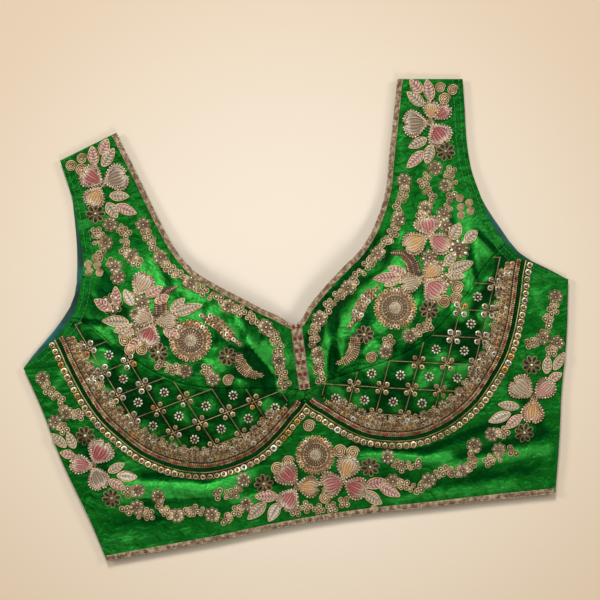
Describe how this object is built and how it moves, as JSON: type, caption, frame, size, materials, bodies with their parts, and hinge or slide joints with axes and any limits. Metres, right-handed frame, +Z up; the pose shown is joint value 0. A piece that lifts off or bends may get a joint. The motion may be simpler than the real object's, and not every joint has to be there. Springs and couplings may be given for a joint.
{
  "type": "choli blouse",
  "caption": "Sleeveless fitted choli blouse laid flat, with two padded cups, wide straps, a V neck with a short slit, piped cup seams and braid at neck and hem.",
  "frame": {"origin": "middle of the garment's box in plan, on the surface that its back lies on", "axes": "+X along the hem to the right seen from above, +Y from hem to shoulders, +Z up from the surface through the front"},
  "size_m": [0.463, 0.3644, 0.0485],
  "materials": {
    "satin": "green silk satin with a soft sheen",
    "lining": "dull teal lining",
    "piping": "satin over cord",
    "braid": "beige and dark red woven braid with metal thread"
  },
  "bodies": {
    "root": {"upper_cup_left": "satin", "upper_cup_right": "satin", "lower_cup_left": "satin", "lower_cup_right": "satin", "front_band": "satin", "back_left": "satin", "back_right": "satin", "hook_placket": "satin", "back_lining_left": "lining", "back_lining_right": "lining", "cup_piping_left": "piping", "cup_piping_right": "piping", "neck_braid_left": "braid", "neck_braid_right": "braid", "hem_braid": "braid"}
  },
  "joints": []
}
